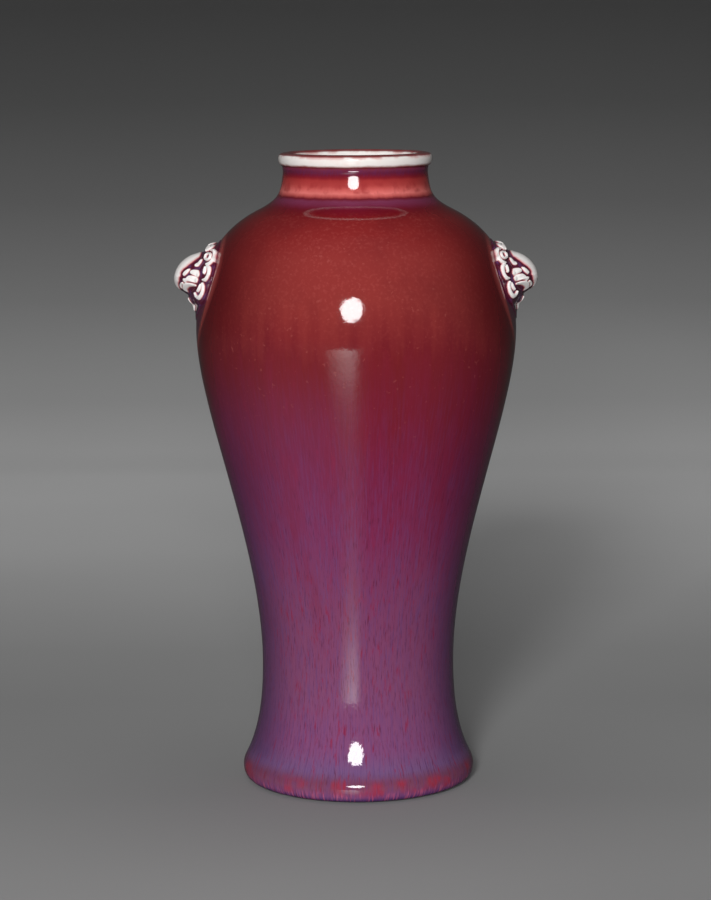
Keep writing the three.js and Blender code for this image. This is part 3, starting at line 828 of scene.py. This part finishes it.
def roundness(across, up, marks):
    """1 on the stroke's path and 0 at its edge, along a circle's arc: sqrt(1 - (distance/width)^2)."""
    path = smooth_path(marks)
    nearest = np.full(across.shape, np.inf)
    for (ax, ay, aw), (bx, by, bw) in zip(path[:-1], path[1:]):
        dx, dy = bx - ax, by - ay
        t = np.clip(((across - ax) * dx + (up - ay) * dy) / (dx * dx + dy * dy), 0, 1)
        away = np.hypot(across - ax - t * dx, up - ay - t * dy) / (aw + t * (bw - aw))
        nearest = np.minimum(nearest, away)
    return np.sqrt(np.clip(1 - nearest ** 2, 0, 1))


def most_of(across, up, strokes):
    """The roundness of whichever stroke is the strongest at each point."""
    return np.max([roundness(across, up, marks) for marks in strokes.values()], axis=0)


def soft_max(a, b, reach):
    """The larger of two heights, with a fillet of that reach where they meet."""
    near = np.clip(reach - np.abs(a - b), 0, None) / reach
    return np.maximum(a, b) + near * near * reach / 4


# %% The height of the relief, in millimetres
PAD_HEIGHT, PAD_SINK, PAD_SLOPE = 0.5, 0.12, 0.12
BODY_HEIGHT, BODY_HALF_WIDTH, BODY_RISE, BODY_DROP = 4.6, 21, 13.6, 10.4
HEAD_HEIGHT, HEAD_HALF_WIDTH, HEAD_RISE, HEAD_DROP = 9.5, 15.5, 10.2, 6.7
PEAK_LEVEL = -1
MUZZLE_START, MUZZLE_REACH, MUZZLE_NARROWING = 2, 7, 2.5
BOX_LEVEL, BOX_HALF_WIDTH, BOX_HALF_HEIGHT = 0.7, 14.1, 9.3
RIDGE_TOP, RIDGE_TOP_END, RIDGE_FOOT, RIDGE_FOOT_END = 7.2, 1.3, -4.8, 1.4
JAW_HEIGHT, JAW_LEVEL, JAW_HALF_WIDTH, JAW_HALF_HEIGHT = 3.9, -6.7, 11, 4
BEARD_HEIGHT, BEARD_HALF_WIDTH, BEARD_START, BEARD_TIP, BEARD_LENGTH = 3.6, 6.2, -6.5, -15.1, 7
RIDGE_MARK, HEAD_MARK, MANE_MARK, BEARD_MARK = 1.5, 1, 1.3, 0.7


def body_swell(across, up):
    """The broad cushion under the mane: (1 - side^2) times (1 - rise^3), steeper below than above."""
    side = np.clip(1 - (across / BODY_HALF_WIDTH) ** 2, 0, 1)
    reach = np.where(up > 0, BODY_RISE, BODY_DROP)
    return BODY_HEIGHT * side * np.clip(1 - (np.abs(up) / reach) ** 3, 0, 1)


def skull(across, up):
    """A dome that peaks near the nose: 1 - side^2 - fall^p, to a power under 1. It narrows towards
    the muzzle, and a rounded box cuts it off at the edge of the head."""
    above = up > PEAK_LEVEL
    drop = HEAD_DROP * (1 - 0.3 * np.clip(across / 13, 0, 1) ** 2)
    fall = np.abs(up - PEAK_LEVEL) / np.where(above, HEAD_RISE, drop)
    half_width = HEAD_HALF_WIDTH - MUZZLE_NARROWING * smooth_step((MUZZLE_START - up) / MUZZLE_REACH)
    dome = np.clip(1 - (across / half_width) ** 2 - fall ** np.where(above, 2.0, 2.2), 0, 1)
    box = (across / BOX_HALF_WIDTH) ** 3 + (np.abs(up - BOX_LEVEL) / BOX_HALF_HEIGHT) ** 3
    return HEAD_HEIGHT * dome ** np.where(above, 0.75, 0.51) * smooth_step((1 - box) / 0.3)


def ridge_roundness(across, up):
    """1 along the middle of the brow and nose, 0 at the edge of their band, whose half-width is
    read from the list of levels."""
    half_width = np.interp(up, RIDGE_LEVELS, RIDGE_HALF_WIDTHS)
    past_ends = np.maximum((up - RIDGE_TOP) / RIDGE_TOP_END, (RIDGE_FOOT - up) / RIDGE_FOOT_END)
    return np.sqrt(np.clip(1 - (across / half_width) ** 2 - np.clip(past_ends, 0, 2) ** 2, 0, 1))


def jaw(across, up):
    """A low form under the mouth, which carries the beard."""
    rise = (up - JAW_LEVEL) / JAW_HALF_HEIGHT
    return JAW_HEIGHT * np.clip(1 - (across / JAW_HALF_WIDTH) ** 2 - rise ** 2, 0, 1) ** 0.5


def beard(across, up):
    """A tongue that narrows and thins from the jaw down to its tip."""
    share = np.clip((up - BEARD_TIP) / BEARD_LENGTH, 1e-4, 1)
    side = across / (BEARD_HALF_WIDTH * share ** 0.75)
    tongue = BEARD_HEIGHT * share ** 1.3 * np.sqrt(np.clip(1 - side ** 2, 0, 1))
    return np.where(up < BEARD_START, tongue, 0)


def relief_at(across, up, edge):
    """Height over the glazed shoulder, and how far each point stands on a stroke, 0 to 1.
    edge is 1 at the rim of the pad and less inside it."""
    across = np.abs(across)
    ridge = ridge_roundness(across, up)
    head_marks = most_of(across, up, HEAD_STROKES)
    mane_marks = most_of(across, up, MANE_STROKES)
    beard_marks = most_of(across, up, BEARD_STROKES)
    pad = PAD_HEIGHT * smooth_step((1 - edge) / PAD_SLOPE) - PAD_SINK
    body = soft_max(pad, body_swell(across, up), 0.4)
    chin = soft_max(jaw(across, up), beard(across, up), 0.8)
    form = soft_max(soft_max(body, skull(across, up), 0.4), chin, 0.4)
    kinds = np.stack([ridge, head_marks, mane_marks, beard_marks])
    depths = np.reshape([RIDGE_MARK, HEAD_MARK, MANE_MARK, BEARD_MARK], (4, 1, 1))
    return form + np.max(depths * kinds, axis=0), np.max(kinds, axis=0)


# %% [markdown]
# ### Laying the relief on the shoulder
#
# The mask's face is a square grid pressed into a disc and stretched to the egg. That keeps
# the cells nearly square, where a grid of rings would crowd at the middle. Each point is found on
# the shoulder's outline and moved out along the shoulder's normal by the relief's height. The back
# is a few shrinking loops sunk in the clay, so that the solid is closed.

# %% Build both masks
MASK_COLUMNS = 300
MASK_ROWS = 200
MASK_SEAT = 1.1
BACK_LOOPS = (0.985, 0.6, 0.2)
SHOULDER_FROM = 150
SHOULDER_TO = 230


def egg_place(disc_across, disc_up):
    """A point of the unit disc in the egg: the lower half narrows by the square of its depth."""
    narrowing = np.where(disc_up < 0, 1 - MASK_TAPER * disc_up ** 2, 1)
    reach = np.where(disc_up < 0, MASK_DROP, MASK_RISE)
    return MASK_HALF_WIDTH * narrowing * disc_across, reach * disc_up


def shoulder_place(across, up, height):
    """The point of the shoulder at that place, moved out along the normal by height."""
    rising = outline[(outline[:, 1] > SHOULDER_FROM) & (outline[:, 1] < SHOULDER_TO)]
    level = MASK_LEVEL / MM + up
    radius = np.interp(level, rising[:, 1], rising[:, 0])
    slope = np.interp(level, rising[:, 1], np.gradient(rising[:, 0], rising[:, 1]))
    depth = np.sqrt(radius ** 2 - across ** 2)
    normal = np.stack([depth / radius, across / radius, -slope], -1)
    normal /= np.linalg.norm(normal, axis=-1, keepdims=True)
    return np.stack([depth, across, level], -1) + normal * np.asarray(height)[..., None]


side, up_axis = np.meshgrid(np.linspace(-1, 1, MASK_COLUMNS + 1), np.linspace(-1, 1, MASK_ROWS + 1))
disc_x = side * np.sqrt(1 - up_axis ** 2 / 2)
disc_y = up_axis * np.sqrt(1 - side ** 2 / 2)
mask_across, mask_up = egg_place(disc_x, disc_y)
mask_height, mask_rise = relief_at(mask_across, mask_up, np.hypot(disc_x, disc_y))
for _ in range(3):
    for field in (mask_height, mask_rise):
        inner = field[1:-1, 1:-1]
        around = (field[:-2, 1:-1] + field[2:, 1:-1] + field[1:-1, :-2] + field[1:-1, 2:]) / 4
        inner[:] = (inner + around) / 2
face_points = shoulder_place(mask_across, mask_up, mask_height).reshape(-1, 3)
index = np.arange(len(face_points)).reshape(mask_across.shape)
faces = np.stack([index[:-1, :-1], index[:-1, 1:], index[1:, 1:], index[1:, :-1]], -1).reshape(-1, 4).tolist()

loop = np.concatenate([index[0, :-1], index[:-1, -1], index[-1, :0:-1], index[:0:-1, 0]])
parts, previous = [face_points], loop
for share in BACK_LOOPS:
    across, up = egg_place(disc_x.ravel()[loop] * share, disc_y.ravel()[loop] * share)
    current = sum(map(len, parts)) + np.arange(len(loop))
    faces += np.stack([np.roll(previous, -1), previous, current, np.roll(current, -1)], -1).tolist()
    parts.append(shoulder_place(across, up, -MASK_SEAT))
    previous = current
pole = np.full(len(loop), sum(map(len, parts)))
faces += np.stack([np.roll(previous, -1), previous, pole], -1).tolist()
mask_points = np.concatenate([*parts, shoulder_place(np.zeros(1), np.zeros(1), -MASK_SEAT)])
print("relief: highest", round(mask_height.max(), 2), "mm over the glaze")

# %% [markdown]
# ### White where it is high, purple where it pooled
#
# The strokes' own roundness is kept as a vertex attribute, so the colour follows the modelling
# exactly: purple in the ground, dark red and pink on the flanks, white on top.

# %% The glaze on the masks
mask_glaze, tree, surface = new_material("mask_glaze", Roughness=0.08, IOR=1.5)
place = object_place(tree)
stroke = add_node(tree, "Attribute", attribute_name="rise").outputs["Fac"]
mottle = noise(place, 700, 2)
worn = number("ADD", stroke, times(centred(mottle), 0.16))
pooled = ranged(noise(place, 320, 2), 0.45, 0.7)
ground = laid(linear(88, 24, 46), ((98, 56, 98), pooled))
whites = ramp(worn, [
    (0, linear(88, 26, 46)), (0.16, linear(110, 30, 44)), (0.28, linear(196, 104, 110)),
    (0.42, linear(240, 206, 204)), (0.6, linear(253, 248, 246)),
])
colour = mixed(ranged(worn, 0.04, 0.2), ground, whites)
link_surface(surface, colour, (mottle, 0.05, 0.12), (mottle, 0.25, 0.00006))

rise_values = np.zeros(len(mask_points), np.float32)
rise_values[:len(face_points)] = mask_rise.ravel()
for name, turn in (("right_mask", 1), ("left_mask", -1)):
    piece = new_piece(name + "_face", mask_points * (turn, turn, 1), faces, mask_glaze, [name])
    layer = piece.data.attributes.new("rise", "FLOAT", "POINT")
    layer.data.foreach_set("value", rise_values)

# %% [markdown]
# ## Floor, light and camera
#
# The vase stands on a pale sweep, a floor that curves up into a backdrop. Its grey holds painted
# light and shade: darker round the vase, where its shadow falls, lighter further back, darker high on
# the backdrop, and a little darker to the right in front. Two round soft lamps stand over the camera.
# The front one makes the small bright spots in the glaze. The key lamp, to the left and higher,
# throws the soft shadow behind the vase on the right. Two weak boxes, left and above, and the world
# fill the shadows.
#
# Glossy glaze shows what stands round it. A large shell that only reflections can see takes the
# place of the studio: dark at the sides and behind, with a soft stripe low in front and a wide dim
# panel to the left. Its brightness is a formula on the direction from the vase.

# %% The sweep
SWEEP_BACK = 1.5
SWEEP_BEND = 0.7
SWEEP_FRONT = 6
SWEEP_REACH = 5
# Grey from front to top, with painted light and shade: darker round the vase where its shadow falls, lighter
# further back, and darker high on the backdrop
SWEEP_GREYS_AND_PAINTED_LIGHT = (
    (0, 178), (0.0785, 169), (0.135, 156), (0.2135, 155), (0.2645, 163), (0.325, 181),
    (0.3965, 201), (0.4835, 213), (0.534, 215), (0.583, 204), (0.651, 173), (0.707, 155),
    (0.7575, 134), (0.8485, 103), (0.9305, 79), (1, 64),
)
sweep_material, tree, surface = new_material("pale_sweep_with_painted_light", Roughness=0.9)
place = object_place(tree)
x, y, z = parts_of(place)
along = number("MULTIPLY_ADD", number("ADD", y, z), 0.5, 0.15)
sweep_grey_and_painted_light = ramp(along, [(position, linear(grey, grey, grey)) for position, grey in SWEEP_GREYS_AND_PAINTED_LIGHT])
sweep_grey_and_painted_light = laid(
    sweep_grey_and_painted_light,
    ((60, 60, 60), ranged(noise(place, 3, 2), 0.3, 0.7, 0, 0.06)),
    # Painted shade: a little darker to the right in front
    ((20, 20, 20), ranged(x, 0, 0.13), ranged(along, 0.12, 0.02, 0, 0.16)),
)
tree.links.new(sweep_grey_and_painted_light, surface.inputs["Base Color"])

bend = np.linspace(0, np.pi / 2, 40)
curve = np.stack([SWEEP_BACK + SWEEP_BEND * (np.sin(bend) - 1), SWEEP_BEND * (1 - np.cos(bend))], 1)
path = np.concatenate([[[-SWEEP_FRONT, 0]], curve, [[SWEEP_BACK, SWEEP_REACH]]])
wide = np.tile([-SWEEP_REACH, SWEEP_REACH], len(path))
points = np.column_stack([wide, np.repeat(path, 2, axis=0)])
rows = np.arange(len(path) - 1)[:, None] * 2
floor = new_object("floor_sweep", points, (rows + [0, 1, 3, 2]).tolist(), sweep_material)
floor.visible_glossy = False
print("sweep of", len(rows), "faces")

# %% Lamps and world
VASE_MIDDLE = (0, 0, 0.12)
LAMPS = (
    ("front_lamp", "DISK", 1.04, 1.04, (-0.2, -3.6, 1.1), VASE_MIDDLE, 62),
    ("key_lamp", "DISK", 0.6, 0.6, (-0.62, -3.4, 1.5), VASE_MIDDLE, 63),
    ("left_box", "RECTANGLE", 1.4, 1.4, (-2.2, -1.6, 1.2), VASE_MIDDLE, 2),
    ("top_box", "RECTANGLE", 2.4, 2, (0, 0.3, 2.6), (0, 0.3, 0), 12),
)
for name, shape, width, height, stand, target, power in LAMPS:
    lamp = bpy.data.lights.new(name, "AREA")
    lamp.shape = shape
    lamp.size = width
    lamp.size_y = height
    lamp.energy = power
    holder = bpy.data.objects.new(name, lamp)
    holder.location = stand
    holder.rotation_euler = (Vector(target) - Vector(stand)).to_track_quat("-Z", "Y").to_euler()
    holder.visible_glossy = name == "front_lamp"
    scene.collection.objects.link(holder)
    print(name, "of", power, "W")

world = bpy.data.worlds.new("studio")
scene.world = world
world.use_nodes = True
world.node_tree.nodes["Background"].inputs["Color"].default_value = (0.05, 0.05, 0.05, 1)

# %% What the glaze mirrors: brightness by how far down, from level to STEEPEST
ROOM_RADIUS = 8
STEEPEST = 0.7
STRIPE_STRENGTH = 3.4
STRIPE_RUN = (
    (0.155, 0), (0.185, 0.75), (0.21, 1), (0.25, 0.95), (0.314, 0.72),
    (0.486, 0.55), (0.6, 0.33), (0.7, 0.18), (0.829, 0.07), (0.95, 0.02),
)
VEIL_RUN = ((0.04, 0), (0.14, 0.06), (0.43, 0.09), (0.64, 0.13), (0.86, 0.17))
room_material = bpy.data.materials.new("mirrored_room")
room_material.use_nodes = True
tree = room_material.node_tree
tree.nodes.remove(tree.nodes["Principled BSDF"])
way = add_node(tree, "VectorMath", {0: object_place(tree)}, operation="NORMALIZE").outputs[0]
x, y, z = parts_of(way)
azimuth = number("ARCTAN2", x, times(y, -1))
depth = times(z, -1 / STEEPEST)
stripe_run, veil_run = (
    ramp(depth, [(position, (grey, grey, grey, 1)) for position, grey in run])
    for run in (STRIPE_RUN, VEIL_RUN)
)
stripe = times(ranged(azimuth, 0.09, -0.09), ranged(azimuth, -0.45, -0.08), stripe_run)
veil_sides = times(ranged(azimuth, 0.26, 0.04), ranged(azimuth, -2.6, -1.2))
ground = ranged(number("ABSOLUTE", azimuth), 1, 1.9, 0.1, 0.04)
shine = number("MULTIPLY_ADD", stripe, STRIPE_STRENGTH, ground)
shine = number("MULTIPLY_ADD", veil_sides, veil_run, shine)
glow = add_node(tree, "Emission", {"Strength": shine})
tree.links.new(glow.outputs[0], tree.nodes["Material Output"].inputs["Surface"])
bow = np.linspace(-np.pi / 2, np.pi / 2, 25)
points, faces = turned(ROOM_RADIUS * np.stack([np.cos(bow), np.sin(bow)], 1), 48)
room = new_object("mirrored_room", points, faces, room_material)
for rays in ("camera", "diffuse", "transmission", "volume_scatter", "shadow"):
    setattr(room, "visible_" + rays, False)
print("room of", len(faces), "faces, seen only in reflections")

# %% The camera
optics = bpy.data.cameras.new("photo_camera")
optics.lens = 112.62
optics.sensor_width = 36
camera = bpy.data.objects.new("photo_camera", optics)
camera.location = (-0.00054, -1.1045, 0.2981)
down, roll = math.radians(8.535), math.radians(-0.3153)
turn = Matrix.Rotation(math.pi / 2 - down, 4, "X") @ Matrix.Rotation(roll, 4, "Z")
camera.rotation_euler = turn.to_euler()
scene.collection.objects.link(camera)
scene.camera = camera
scene.view_settings.view_transform = "Standard"
print("camera lens:", round(optics.lens, 2), "mm")
